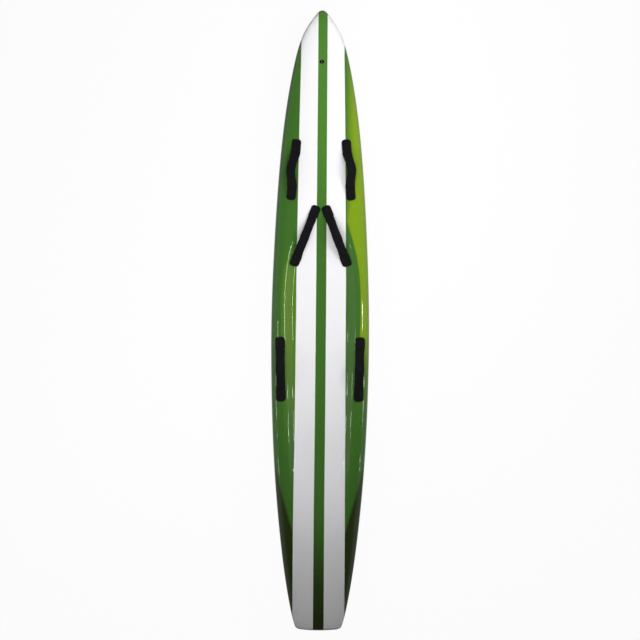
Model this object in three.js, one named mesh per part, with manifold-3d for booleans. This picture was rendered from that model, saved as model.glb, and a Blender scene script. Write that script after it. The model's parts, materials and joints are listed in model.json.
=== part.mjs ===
// Lifeguard rescue board: a foam-cored, laminated paddleboard for surf rescue, with a scooped
// deck, six padded handles, a leash cup at the nose and a fin that slides in a box at the tail.
// Millimetres: +X to the right of a rider who faces the nose, +Y to the nose, +Z up.
// The origin lies under the middle of the board, level with the tip of the fin.

import * as THREE from 'three';
import { mergeVertices } from 'three/addons/utils/BufferGeometryUtils.js';
import Module from 'manifold-3d';

const wasm = await Module();
wasm.setup();

// Board
const boardLength = 3200;
const boardWidth = 508;
const boardThickness = 140;
const noseRocker = 150;
const tailRocker = 36;
const bottomFlatFrontShare = 0.219;
const bottomFlatBackShare = 0.281;
const tailCornerRadius = 17;
const tailEdgeRadius = 9;
const skinThickness = 2;
const stringerThickness = 5;
const stationCount = 40;

// Scooped deck between the raised rails
const recessDepth = 30;
const recessSlope = 75;
const recessFrontShare = 0.4;
const recessFrontRampShare = 0.175;
const recessBackShare = 0.7375;
const recessBackRampShare = 0.325;

// Outline, thickness and rocker along the board, from -1 at the tail to 1 at the nose.
// The place is the share of a quarter turn whose sine is the share of the half length.
const outlineShares = [
  [-1, 0.42], [-0.8, 0.543], [-0.6, 0.704], [-0.45, 0.825], [-0.3, 0.926], [-0.15, 0.984], [0, 0.997],
  [0.15, 0.951], [0.3, 0.87], [0.45, 0.75], [0.6, 0.586], [0.75, 0.377], [0.87, 0.158], [0.94, 0.068],
  [1, 0],
];
const thicknessShares = [
  [-1, 0.26], [-0.8, 0.4], [-0.55, 0.66], [-0.3, 0.9], [0, 1], [0.3, 0.92], [0.55, 0.71],
  [0.75, 0.48], [0.9, 0.24], [1, 0],
];
const roundnessShares = [[-1, 2.3], [-0.5, 2.8], [0, 4], [0.4, 3.2], [1, 2.2]];
const noseCapShare = 0.97;
const railShare = 0.5;
const bottomFlatShare = 0.6;
const scoopFootShare = 0.35;
const noseRockerPower = 2.2;
const slopeLineShares = [0, 0.2, 0.5, 0.8];
const rampRingShares = [0, 0.165, 0.33, 0.5, 0.67, 0.835, 1];
const rampMarginShare = 0.01;

// Half width of the scoop as a share of the board's half width, along shares of the half length
const lipShares = [
  [-1, 0.7], [-0.7, 0.73], [-0.5, 0.765], [-0.3, 0.775], [-0.1, 0.79], [0.1, 0.815],
  [0.2, 0.765], [0.3, 0.6], [0.4, 0.36], [0.6, 0.38], [1, 0.4],
];

// Handles: each is a webbing strap in a foam grip, with a neoprene cover over each anchor
const handleLength = 334;
const tabWidth = 52;
const gripWidth = 47;
const tabLength = 62;
const tabEdgeHeight = 5;
const tabEndHeight = 9;
const tabCornerRadius = 17;
const axisHeight = 18;
const handleRise = 36;
const gripThickness = 20;
const gripEndShare = 0.88;
const gripFlare = 30;
const strapWidth = 20;
const strapThickness = 3;
const strapLift = 0.45;
const strapRampShare = 0.42;
const strapReachShare = 0.9;
const coverLengthShares = [1, 0.95, 0.84, 0.6, 0.3, 0];
const coverFullness = 0.7;
const screwShare = 0.68;
const screwHeadRadius = 5.5;
const screwHeadHeight = 3.5;
const screwRadius = 3;
const screwLength = 22;
const insertRadius = 9;
const insertLength = 26;
const insertSink = 2;
const insertFloor = 4;

// Middle of each handle as shares of the half width and half length, the turn of its nose end
// towards the centre line, the lean of its grip, and its sizes as shares of the rear handle's
const handles = [
  {
    name: 'front', acrossShare: 0.5567, alongShare: 0.486, turnDegrees: 5.4, leanDegrees: 24,
    lengthShare: 0.946, tabShare: 0.96, gripShare: 1.04,
  },
  {
    name: 'centre', acrossShare: 0.3177, alongShare: 0.273, turnDegrees: 21, leanDegrees: 0,
    lengthShare: 1, tabShare: 0.98, gripShare: 0.957,
  },
  {
    name: 'rear', acrossShare: 0.801, alongShare: -0.1575, turnDegrees: -1.3, leanDegrees: 0,
    lengthShare: 1, tabShare: 1, gripShare: 1,
  },
];

// Leash cup in the nose
const cupInset = 266;
const cupRadius = 12;
const cupWall = 2.5;
const cupDepth = 22;
const cupFloor = 3;
const cupSides = 20;
const leashBarRadius = 2;
const leashBarDepth = 7;
const leashBarSeat = 1.6;

// Fin box and fin
const finBoxInset = 325;
const finBoxLength = 260;
const finBoxWidth = 26;
const finBoxDepth = 28;
const finBoxEndWall = 11;
const finBoxFloor = 3.5;
const slotWidth = 10;
const channelWidth = 16;
const channelHeight = 5;
const channelDepth = 8;
const loadingNotchLength = 11;
const finBase = 150;
const finDepth = 162;
const finThickness = 9.2;
const finEarLength = 17;
const finEarHeight = 4;
const finEarDepth = 3;
const finPinRadius = 2.1;
const finPinInset = 9;
const finScrewRadius = 2;
const finScrewHeadRadius = 3.8;
const finScrewHeadHeight = 2.4;
const finScrewLength = 15;
const nutPlateLength = 13;
const finTipThicknessShare = 0.35;

// Leading and trailing edges of the fin: [share of the depth, front, back], as shares of the base
const finEdgeShares = [
  [0, 1, 0], [0.2, 0.875, 0.055], [0.4, 0.725, 0.06], [0.6, 0.54, 0.005], [0.78, 0.325, -0.1],
  [0.92, 0.075, -0.21], [0.985, -0.13, -0.275], [1, -0.21, -0.262],
];
const foilShares = [[1, 0], [0.93, 0.55], [0.72, 1], [0.35, 0.75], [0, 0.12]];

// Fits
const clearance = 0.3;
const overrun = 20;
const roundSides = 10;
const screwSides = 8;

const finishes = {
  greenPaint: { color: 0x4c8a2b, roughness: 0.12, metalness: 0 },
  whitePaint: { color: 0xf2f1ef, roughness: 0.14, metalness: 0 },
  foam: { color: 0xf3f0e6, roughness: 0.9, metalness: 0 },
  plywood: { color: 0xc79a62, roughness: 0.7, metalness: 0 },
  neoprene: { color: 0x1b1b1e, roughness: 0.85, metalness: 0 },
  webbing: { color: 0x222224, roughness: 0.8, metalness: 0 },
  steel: { color: 0xb9bcc0, roughness: 0.3, metalness: 1 },
  brass: { color: 0xb8943f, roughness: 0.35, metalness: 1 },
  blackPlastic: { color: 0x18191b, roughness: 0.4, metalness: 0 },
  finPlastic: { color: 0x1d1f22, roughness: 0.25, metalness: 0 },
};

const halfLength = boardLength / 2;
const halfWidth = boardWidth / 2;
const quarterTurn = Math.PI / 2;

// A natural cubic spline through [place, value] pairs
function smoothCurve(points) {
  const last = points.length - 1;
  const curvature = points.map(() => 0);
  const carried = points.map(() => 0);
  const steepness = i => (points[i + 1][1] - points[i][1]) / (points[i + 1][0] - points[i][0]);
  for (let i = 1; i < last; i++) {
    const span = points[i + 1][0] - points[i - 1][0];
    const share = (points[i][0] - points[i - 1][0]) / span;
    const divisor = share * curvature[i - 1] + 2;
    curvature[i] = (share - 1) / divisor;
    carried[i] = (6 * (steepness(i) - steepness(i - 1)) / span - share * carried[i - 1]) / divisor;
  }
  for (let i = last - 1; i > 0; i--) {
    curvature[i] = curvature[i] * curvature[i + 1] + carried[i];
  }
  return place => {
    const next = points.findIndex(point => point[0] > place);
    const end = next < 0 ? last : Math.max(next, 1);
    const width = points[end][0] - points[end - 1][0];
    const ahead = (points[end][0] - place) / width;
    const behind = 1 - ahead;
    const bow = (ahead ** 3 - ahead) * curvature[end - 1] + (behind ** 3 - behind) * curvature[end];
    return ahead * points[end - 1][1] + behind * points[end][1] + bow * width * width / 6;
  };
}

const outlineCurve = smoothCurve(outlineShares);
const thicknessCurve = smoothCurve(thicknessShares);
const roundnessCurve = smoothCurve(roundnessShares);
const lipCurve = smoothCurve(lipShares);

function mix(from, to, share) {
  return from + (to - from) * share;
}

function smoothStep(share) {
  const held = Math.min(Math.max(share, 0), 1);
  return held * held * (3 - 2 * held);
}

// How far a rounded corner has drawn in, at a distance from the end that it rounds
function cornerInset(distance, radius) {
  const left = radius - Math.min(Math.max(distance, 0), radius);
  return radius - Math.sqrt(radius * radius - left * left);
}

// Heights are measured from the flat part of the bottom
function bottomHeight(y) {
  const front = Math.max(y / halfLength - bottomFlatFrontShare, 0) / (1 - bottomFlatFrontShare);
  const back = Math.max(-y / halfLength - bottomFlatBackShare, 0) / (1 - bottomFlatBackShare);
  return noseRocker * front ** noseRockerPower + tailRocker * back * back;
}

// The cross-section at y: its half width, and the heights of its bottom, rail line and crown
function sectionAt(y) {
  const place = Math.asin(y / halfLength) / quarterTurn;
  const held = Math.min(place, noseCapShare);
  const fromTail = y + halfLength;
  const edge = cornerInset(fromTail, tailEdgeRadius);
  const bottom = bottomHeight(y);
  const thickness = boardThickness * thicknessCurve(held);
  return {
    half: halfWidth * outlineCurve(held) - cornerInset(fromTail, tailCornerRadius),
    bottom: bottom + edge,
    rail: bottom + thickness * railShare,
    crown: bottom + thickness - edge,
    roundness: roundnessCurve(held),
    lip: lipCurve(y / halfLength),
  };
}

// Height of the deck at a share of the half width from the centre line
function deckHeight(section, y, share) {
  const { crown, rail, roundness } = section;
  const dome = at => rail + (crown - rail) * Math.max(1 - at ** roundness, 0) ** (1 / roundness);
  const across = smoothStep((section.lip - share) * section.half / recessSlope);
  const front = smoothStep((recessFrontShare - y / halfLength) / recessFrontRampShare);
  const back = smoothStep((recessBackShare + y / halfLength) / recessBackRampShare);
  return mix(dome(share), dome(section.lip) - recessDepth, across * front * back);
}

// Height of the bottom at a share of the half width from the centre line
function hullHeight(section, share) {
  const turn = Math.max(share - bottomFlatShare, 0) / (1 - bottomFlatShare);
  return section.rail - (section.rail - section.bottom) * Math.sqrt(1 - Math.min(turn * turn, 1));
}

// Lines along the deck from the centre to the rail, closest together over the scoop's slope
function deckLines(section) {
  const foot = Math.max(section.lip - recessSlope / section.half, section.lip * scoopFootShare);
  const lines = [0, ...slopeLineShares.map(share => mix(foot, section.lip, share))];
  const railSteps = 3;
  for (let i = 0; i <= railSteps; i++) {
    lines.push(mix(section.lip, 1, Math.sin(quarterTurn * i / railSteps)));
  }
  return lines;
}

function bottomLines() {
  const turnSteps = 3;
  const lines = [0, bottomFlatShare];
  for (let i = 1; i < turnSteps; i++) {
    lines.push(mix(bottomFlatShare, 1, Math.sin(quarterTurn * i / turnSteps)));
  }
  return lines;
}

// One ring of the hull, drawn in by an inset on every side: over the deck, then back under it
function hullRing(y, inset) {
  const section = sectionAt(y);
  const across = (section.half - inset) / section.half;
  const along = y * (halfLength - inset) / halfLength;
  const point = (share, z) => new THREE.Vector3(share * section.half * across, along, z);
  const deck = deckLines(section).slice(0, -1).map(share => [share, deckHeight(section, y, share) - inset]);
  const hull = bottomLines().map(share => [share, hullHeight(section, share) + inset]);
  return [
    point(-1, section.rail),
    ...deck.slice(1).reverse().map(([share, z]) => point(-share, z)),
    ...deck.map(([share, z]) => point(share, z)),
    point(1, section.rail),
    ...hull.slice(1).reverse().map(([share, z]) => point(share, z)),
    ...hull.map(([share, z]) => point(-share, z)),
  ];
}

// A closed skin over rings with the same number of points, with a fan on each end.
// Its squares are split the other way on the left, so that both sides are mirror images.
function loft(rings) {
  const sides = rings[0].length;
  const points = rings.flat();
  const faces = [];
  for (let i = 0; i < rings.length - 1; i++) {
    for (let j = 0; j < sides; j++) {
      const here = i * sides + j;
      const beside = i * sides + (j + 1) % sides;
      if (points[here].x + points[beside].x < 0) {
        faces.push(here, beside, here + sides, beside, beside + sides, here + sides);
      } else {
        faces.push(here, beside, beside + sides, here, beside + sides, here + sides);
      }
    }
  }
  const lastRing = (rings.length - 1) * sides;
  const middle = ring => {
    const sum = ring.reduce((total, point) => total.add(point), new THREE.Vector3());
    return sum.divideScalar(sides);
  };
  const startMiddle = points.push(middle(rings[0])) - 1;
  const endMiddle = points.push(middle(rings[rings.length - 1])) - 1;
  for (let j = 0; j < sides; j++) {
    const beside = (j + 1) % sides;
    faces.push(startMiddle, beside, j, endMiddle, lastRing + j, lastRing + beside);
  }
  const geometry = new THREE.BufferGeometry().setFromPoints(points);
  geometry.setIndex(faces);
  return geometry;
}

// A three.js geometry as a solid that can be cut and joined
function solidFrom(geometry, matrix = new THREE.Matrix4()) {
  const bare = geometry.clone().applyMatrix4(matrix);
  bare.deleteAttribute('normal');
  bare.deleteAttribute('uv');
  const merged = mergeVertices(bare);
  return new wasm.Manifold(new wasm.Mesh({
    numProp: 3,
    vertProperties: Float32Array.from(merged.attributes.position.array),
    triVerts: Uint32Array.from(merged.index.array),
  }));
}

function geometryFrom(solid) {
  const mesh = solid.getMesh();
  const geometry = new THREE.BufferGeometry();
  geometry.setAttribute('position', new THREE.Float32BufferAttribute(mesh.vertProperties, 3));
  geometry.setIndex([...mesh.triVerts]);
  return geometry;
}

function cutAll(solid, cutters) {
  return cutters.reduce((left, cutter) => left.subtract(cutter), solid);
}

const board = new THREE.Group();

// A named piece whose solid lies in the board's frame, carried by a frame of its own
function addPiece(name, solid, finish, frame = new THREE.Matrix4()) {
  const geometry = geometryFrom(solid).applyMatrix4(frame.clone().invert());
  const mesh = new THREE.Mesh(geometry, new THREE.MeshStandardMaterial(finishes[finish]));
  mesh.name = name;
  mesh.applyMatrix4(frame);
  board.add(mesh);
}

// A box given by its middle across X and Y, and its lowest and highest Z
function blockGeometry(width, length, low, high, y = 0) {
  const geometry = new THREE.BoxGeometry(width, length, high - low);
  return geometry.translate(0, y, (low + high) / 2);
}

// A turned piece about Z from [radius, height] pairs, written from the bottom to the top
function turnedGeometry(profile, sides) {
  const points = profile.map(([radius, height]) => new THREE.Vector2(radius, height));
  return new THREE.LatheGeometry(points, sides).rotateX(quarterTurn);
}

function rodGeometry(radius, low, high, sides) {
  return turnedGeometry([[0, low], [radius, low], [radius, high], [0, high]], sides);
}

// Where the rings lie along the board: closer together at its ends and over the scoop's two ramps
function ringPlaces() {
  const ramps = [
    [-recessBackShare, recessBackRampShare - recessBackShare],
    [recessFrontShare - recessFrontRampShare, recessFrontShare],
  ];
  const shares = ramps.flatMap(([low, high]) => rampRingShares.map(share => mix(low, high, share)));
  for (let i = 0; i <= stationCount; i++) {
    const share = Math.sin(mix(-1, 1, i / stationCount) * quarterTurn);
    const clear = ([low, high]) => share < low - rampMarginShare || share > high + rampMarginShare;
    if (ramps.every(clear)) shares.push(share);
  }
  return shares.sort((one, other) => one - other).map(share => share * halfLength);
}

function hullGeometry(inset) {
  return loft(ringPlaces().map(y => hullRing(y, inset)));
}

// Everything below the rail line, moved up by a shift
function belowRails(shift) {
  const reach = boardWidth;
  const places = ringPlaces();
  const rings = places.map((y, i) => {
    const beyond = i === 0 || i === places.length - 1 ? Math.sign(y) * overrun : 0;
    const z = sectionAt(y).rail + shift;
    const corners = [[-reach, z], [reach, z], [reach, -reach], [-reach, -reach]];
    return corners.map(([x, height]) => new THREE.Vector3(x, y + beyond, height));
  });
  return solidFrom(loft(rings));
}

const hullSkin = hullGeometry(0);
const hullSolid = solidFrom(hullSkin);
const hullRaised = hullSolid.translate([0, 0, clearance]);
const hullTouched = hullSolid.translate([0, 0, clearance / 2]);
const hullTarget = new THREE.Mesh(hullSkin);
const caster = new THREE.Raycaster();

// Where a line through a place in a frame, along the frame's Z, comes down on the deck
function deckUnder(frame, x, y) {
  const start = new THREE.Vector3(x, y, boardWidth).applyMatrix4(frame);
  const down = new THREE.Vector3(0, 0, -1).transformDirection(frame);
  caster.set(start, down);
  const hit = caster.intersectObject(hullTarget)[0].point;
  return hit.applyMatrix4(frame.clone().invert());
}

// A frame on the deck with its Z square to the surface
function frameOnDeck(frame, x, y, reach) {
  const forward = deckUnder(frame, x + reach, y).sub(deckUnder(frame, x - reach, y));
  const sideways = deckUnder(frame, x, y + reach).sub(deckUnder(frame, x, y - reach));
  const up = forward.clone().cross(sideways).normalize();
  const along = forward.normalize();
  const across = up.clone().cross(along);
  const place = deckUnder(frame, x, y);
  const local = new THREE.Matrix4().makeBasis(along, across, up).setPosition(place);
  return new THREE.Matrix4().multiplyMatrices(frame, local);
}

const deckPockets = [];
const bottomPockets = [];
const swayAxis = new THREE.Vector3(1, 0, 0);

// A handle's frame: its X runs along the sway axis to the front, midway between the two covers
function handleFrame(handle, side) {
  const turn = THREE.MathUtils.degToRad(handle.turnDegrees);
  const reach = handleLength * handle.lengthShare / 2 - tabLength;
  const x = halfWidth * handle.acrossShare;
  const y = halfLength * handle.alongShare;
  const level = new THREE.Matrix4();
  const mouth = end => {
    const across = x - end * reach * Math.sin(turn);
    return deckUnder(level, side * across, y + end * reach * Math.cos(turn));
  };
  const rearMouth = mouth(-1);
  const frontMouth = mouth(1);
  const along = frontMouth.clone().sub(rearMouth);
  const halfSpan = along.length() / 2;
  along.normalize();
  const across = new THREE.Vector3(0, 0, 1).cross(along).normalize();
  const up = along.clone().cross(across);
  const place = rearMouth.add(frontMouth).divideScalar(2).addScaledVector(up, axisHeight);
  const matrix = new THREE.Matrix4().makeBasis(along, across, up).setPosition(place);
  return { matrix, halfSpan };
}

function archHeight(x, halfSpan) {
  return handleRise * (1 + Math.cos(Math.PI * x / halfSpan)) / 2;
}

// The strap lies flat on the deck at its ends and runs up to the sway axis inside each cover.
// A tunnel is the same shape, grown by a clearance and open down through the deck.
function strapRings(handle, side, place, growth, tunnel = false) {
  const lean = side * THREE.MathUtils.degToRad(handle.leanDegrees);
  const { matrix, halfSpan } = place;
  const wide = strapWidth / 2 + growth;
  const corners = [[wide, -1], [wide, 1], [-wide, 1], [-wide, -1]];
  if (tunnel) corners.push([-wide, -1, true], [wide, -1, true]);
  const thick = strapThickness / 2 + growth;
  const middleSteps = 8;
  const rampSteps = 3;
  const reach = strapReachShare * tabLength + growth;
  const ramp = strapRampShare * tabLength;
  const outer = [];
  for (let i = 1; i <= rampSteps; i++) {
    outer.push(halfSpan + ramp * i / rampSteps);
  }
  outer.push(halfSpan + screwShare * tabLength, halfSpan + reach);
  const places = outer.map(x => -x).reverse();
  for (let i = 0; i <= middleSteps; i++) {
    places.push(mix(-halfSpan, halfSpan, i / middleSteps));
  }
  places.push(...outer);
  return places.map(x => {
    const beyond = Math.max(Math.abs(x) - halfSpan, 0);
    const settle = smoothStep(beyond / ramp);
    const height = archHeight(Math.min(Math.abs(x), halfSpan), halfSpan);
    return corners.map(([y, level, dropped]) => {
      const held = new THREE.Vector3(0, y, height + level * thick).applyAxisAngle(swayAxis, lean);
      const seat = strapLift + strapThickness / 2;
      const laid = settle > 0 ? deckUnder(matrix, x, y).z + seat + level * thick : 0;
      const z = dropped ? -axisHeight - overrun : mix(held.z, laid, settle);
      return new THREE.Vector3(x, mix(held.y, y, settle), z).applyMatrix4(matrix);
    });
  });
}

function gripRings(handle, side, place) {
  const lean = side * THREE.MathUtils.degToRad(handle.leanDegrees);
  const { matrix, halfSpan } = place;
  const steps = 8;
  const rings = [];
  for (let i = 0; i <= steps; i++) {
    const x = (halfSpan - clearance) * mix(-1, 1, i / steps);
    const flare = smoothStep((halfSpan - Math.abs(x)) / gripFlare);
    const wide = gripWidth * handle.gripShare * mix(gripEndShare, 1, flare) / 2;
    const ring = [];
    for (let j = 0; j < roundSides; j++) {
      const turn = 2 * Math.PI * j / roundSides;
      const z = archHeight(x, halfSpan) + Math.sin(turn) * gripThickness / 2;
      const point = new THREE.Vector3(x, wide * Math.cos(turn), z);
      ring.push(point.applyAxisAngle(swayAxis, lean).applyMatrix4(matrix));
    }
    rings.push(ring);
  }
  return rings;
}

// A cover is a crowned pad on the deck, high at the grip and rounded off at its outer end
function coverRings(handle, place, end) {
  const { matrix, halfSpan } = place;
  const archSteps = 4;
  const rings = coverLengthShares.map(share => {
    const fromEnd = tabLength * (1 - share);
    const x = end * (halfSpan + tabLength * share);
    const wide = tabWidth * handle.tabShare / 2 - cornerInset(fromEnd, tabCornerRadius);
    const height = mix(axisHeight + gripThickness / 2, tabEndHeight, smoothStep(share));
    const crown = height - cornerInset(fromEnd, tabEndHeight / 2);
    const ring = [];
    for (let j = 0; j <= archSteps; j++) {
      const turn = Math.PI * j / archSteps;
      const y = wide * Math.cos(turn);
      const raise = mix(tabEdgeHeight * crown / height, crown, Math.sin(turn) ** coverFullness);
      ring.push(new THREE.Vector3(x, y, deckUnder(matrix, x, y).z + raise));
    }
    ring.push(new THREE.Vector3(x, -wide, -axisHeight - overrun));
    ring.push(new THREE.Vector3(x, wide, -axisHeight - overrun));
    return ring.map(point => point.applyMatrix4(matrix));
  });
  return end > 0 ? rings.reverse() : rings;
}

function screwGeometry(growth) {
  const seat = strapLift + clearance + strapThickness - growth;
  const top = seat + screwHeadHeight + 2 * growth;
  const foot = -screwLength - growth;
  const profile = [
    [0, foot], [screwRadius + growth, foot], [screwRadius + growth, seat],
    [screwHeadRadius + growth, seat], [screwHeadRadius + growth, top], [0, top],
  ];
  return turnedGeometry(profile, screwSides);
}

// One end of a handle: screw, threaded insert and neoprene cover
function addAnchor(handle, side, place, end, name, tunnel) {
  const screwX = end * (place.halfSpan + screwShare * tabLength);
  const anchor = frameOnDeck(place.matrix, screwX, 0, strapWidth / 2);
  const screwRoom = solidFrom(screwGeometry(clearance), anchor);
  const cover = solidFrom(loft(coverRings(handle, place, end)));
  const cutters = [hullRaised, tunnel, screwRoom];
  addPiece(`${name}_cover`, cutAll(cover, cutters), 'neoprene', place.matrix);
  addPiece(`${name}_screw`, solidFrom(screwGeometry(0), anchor), 'steel', anchor);
  const threadRadius = screwRadius + clearance;
  const insertFoot = insertFloor - insertLength;
  const insertProfile = [
    [0, -insertLength], [insertRadius, -insertLength], [insertRadius, -insertSink],
    [threadRadius, -insertSink], [threadRadius, insertFoot], [0, insertFoot],
  ];
  addPiece(`${name}_insert`, solidFrom(turnedGeometry(insertProfile, screwSides), anchor), 'brass', anchor);
  const pocket = rodGeometry(insertRadius + clearance, -insertLength - clearance, overrun, screwSides);
  deckPockets.push(solidFrom(pocket, anchor));
  return screwRoom;
}

function addHandle(handle, side, sideName) {
  const name = `${handle.name}_${sideName}`;
  const place = handleFrame(handle, side);
  const strapRoom = solidFrom(loft(strapRings(handle, side, place, clearance)));
  const grip = solidFrom(loft(gripRings(handle, side, place)));
  addPiece(`${name}_grip`, grip.subtract(strapRoom), 'neoprene', place.matrix);
  const tunnel = solidFrom(loft(strapRings(handle, side, place, clearance, true)));
  const frontRoom = addAnchor(handle, side, place, 1, `${name}_fore`, tunnel);
  const rearRoom = addAnchor(handle, side, place, -1, `${name}_aft`, tunnel);
  const strap = solidFrom(loft(strapRings(handle, side, place, 0)));
  addPiece(`${name}_strap`, cutAll(strap, [hullTouched, frontRoom, rearRoom]), 'webbing', place.matrix);
}

function addLeashCup() {
  const frame = frameOnDeck(new THREE.Matrix4(), 0, halfLength - cupInset, cupRadius);
  const upright = (radius, low) => solidFrom(rodGeometry(radius, low, overrun, cupSides), frame);
  const cup = upright(cupRadius, -cupDepth);
  const well = upright(cupRadius - cupWall, cupFloor - cupDepth);
  const barHalf = cupRadius - cupWall + leashBarSeat;
  const barFrame = new THREE.Matrix4().makeRotationX(quarterTurn).setPosition(0, 0, -leashBarDepth);
  barFrame.premultiply(frame);
  const bar = solidFrom(rodGeometry(leashBarRadius, -barHalf, barHalf, roundSides), barFrame);
  const barSeat = barHalf + clearance;
  const barRoomGeometry = rodGeometry(leashBarRadius + clearance, -barSeat, barSeat, roundSides);
  const barRoom = solidFrom(barRoomGeometry, barFrame);
  addPiece('leash_cup', cup.intersect(hullSolid).subtract(well).subtract(barRoom), 'blackPlastic', frame);
  addPiece('leash_bar', bar, 'steel', barFrame);
  deckPockets.push(upright(cupRadius + clearance, -cupDepth - clearance));
}

// The box's frame lies on the bottom, with Y forward along it and Z up into the board
function finFrame() {
  const y = finBoxInset - halfLength;
  const back = bottomHeight(y - finBoxLength / 2);
  const front = bottomHeight(y + finBoxLength / 2);
  const frame = new THREE.Matrix4().makeRotationX(Math.atan2(front - back, finBoxLength));
  return frame.setPosition(0, y, (front + back) / 2);
}

function finBladeRings() {
  const low = -finBase / 2;
  return finEdgeShares.map(([depthShare, frontShare, backShare]) => {
    const thick = finThickness * mix(1, finTipThicknessShare, depthShare) / 2;
    const front = low + finBase * frontShare;
    const back = low + finBase * backShare;
    const z = clearance - (finDepth + clearance) * depthShare;
    const point = (share, x) => new THREE.Vector3(x, mix(back, front, share), z);
    return [
      ...foilShares.map(([share, bulge]) => point(share, thick * bulge)),
      ...foilShares.slice(1).reverse().map(([share, bulge]) => point(share, -thick * bulge)),
    ];
  });
}

function addFin() {
  const frame = finFrame();
  const room = geometry => solidFrom(geometry, frame);
  const slotLength = finBoxLength - 2 * finBoxEndWall;
  const slotTop = finBoxDepth - finBoxFloor;
  const channelTop = channelDepth + channelHeight;

  const box = room(blockGeometry(finBoxWidth, finBoxLength, -overrun, finBoxDepth));
  const slot = room(blockGeometry(slotWidth, slotLength, -overrun, slotTop));
  const channel = room(blockGeometry(channelWidth, slotLength, channelDepth, channelTop));
  const notch = room(blockGeometry(channelWidth, loadingNotchLength, -overrun, channelTop));
  const finBox = cutAll(box.intersect(hullSolid), [slot, channel, notch]);
  addPiece('fin_box', finBox, 'blackPlastic', frame);
  bottomPockets.push(room(blockGeometry(
    finBoxWidth + 2 * clearance, finBoxLength + 2 * clearance, -overrun, finBoxDepth + clearance,
  )));

  const tabTop = slotTop - clearance;
  const pinHeight = channelDepth + channelHeight / 2;
  const pinY = finPinInset - finBase / 2;
  const screwY = (finBase + finEarLength) / 2;
  const earTop = finEarDepth + finEarHeight;
  const tab = room(blockGeometry(finThickness, finBase, 0, tabTop));
  const ear = room(blockGeometry(
    finThickness, finEarLength + overrun, finEarDepth, earTop, screwY - overrun / 2,
  ));
  const turned = new THREE.Matrix4().makeRotationY(quarterTurn).setPosition(0, pinY, pinHeight);
  const pinFrame = turned.premultiply(frame);
  const pinHalf = channelWidth / 2 - clearance;
  const pin = solidFrom(rodGeometry(finPinRadius, -pinHalf, pinHalf, roundSides), pinFrame);
  const pinRoom = solidFrom(rodGeometry(finPinRadius + clearance, -overrun, overrun, roundSides), pinFrame);
  const screwFrame = new THREE.Matrix4().makeTranslation(0, screwY, 0).premultiply(frame);
  const holeGeometry = rodGeometry(finScrewRadius + clearance, -overrun, overrun, screwSides);
  const threadHole = solidFrom(holeGeometry, screwFrame);
  const blade = room(loft(finBladeRings()));
  addPiece('fin', cutAll(tab.add(ear).add(blade), [pinRoom, threadHole]), 'finPlastic', frame);
  addPiece('fin_pin', pin, 'brass', pinFrame);

  const headTop = finEarDepth - clearance;
  const headFoot = headTop - finScrewHeadHeight;
  const screwProfile = [
    [0, headFoot], [finScrewHeadRadius, headFoot], [finScrewHeadRadius, headTop],
    [finScrewRadius, headTop], [finScrewRadius, finScrewLength], [0, finScrewLength],
  ];
  const screw = solidFrom(turnedGeometry(screwProfile, screwSides), screwFrame);
  addPiece('fin_screw', screw, 'steel', screwFrame);
  const plateGeometry = blockGeometry(
    channelWidth - 2 * clearance, nutPlateLength, channelDepth + clearance, channelTop - clearance,
  );
  const plate = solidFrom(plateGeometry, screwFrame).subtract(threadHole);
  addPiece('fin_nut_plate', plate, 'brass', screwFrame);
}

// Laminated skins that meet at the rail line, over two foam halves glued to a plywood stringer
function addHull() {
  const shell = hullSolid.subtract(solidFrom(hullGeometry(skinThickness)));
  const deckSkin = shell.subtract(belowRails(clearance / 2));
  const bottomSkin = shell.intersect(belowRails(-clearance / 2));
  addPiece('deck_skin', cutAll(deckSkin, deckPockets), 'greenPaint');
  addPiece('bottom_skin', cutAll(bottomSkin, bottomPockets), 'whitePaint');

  const blank = solidFrom(hullGeometry(skinThickness + clearance));
  const core = cutAll(blank, [...deckPockets, ...bottomPockets]);
  const height = boardThickness + noseRocker + overrun;
  const slab = width => solidFrom(blockGeometry(width, boardLength, -overrun, height));
  const halves = core.subtract(slab(stringerThickness + 2 * clearance));
  const sideBlock = side => slab(boardWidth).translate([side * boardWidth / 2, 0, 0]);
  addPiece('foam_core_right', halves.intersect(sideBlock(1)), 'foam');
  addPiece('foam_core_left', halves.intersect(sideBlock(-1)), 'foam');
  addPiece('stringer', core.intersect(slab(stringerThickness)), 'plywood');
}

for (const handle of handles) {
  addHandle(handle, 1, 'right');
  addHandle(handle, -1, 'left');
}
addLeashCup();
addFin();
addHull();

board.updateMatrixWorld(true);
board.position.z = -new THREE.Box3().setFromObject(board, true).min.z;

export default board;
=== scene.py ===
import json
import math
import bmesh
import bpy
from mathutils import Matrix, Vector
from mathutils.bvhtree import BVHTree


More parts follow.
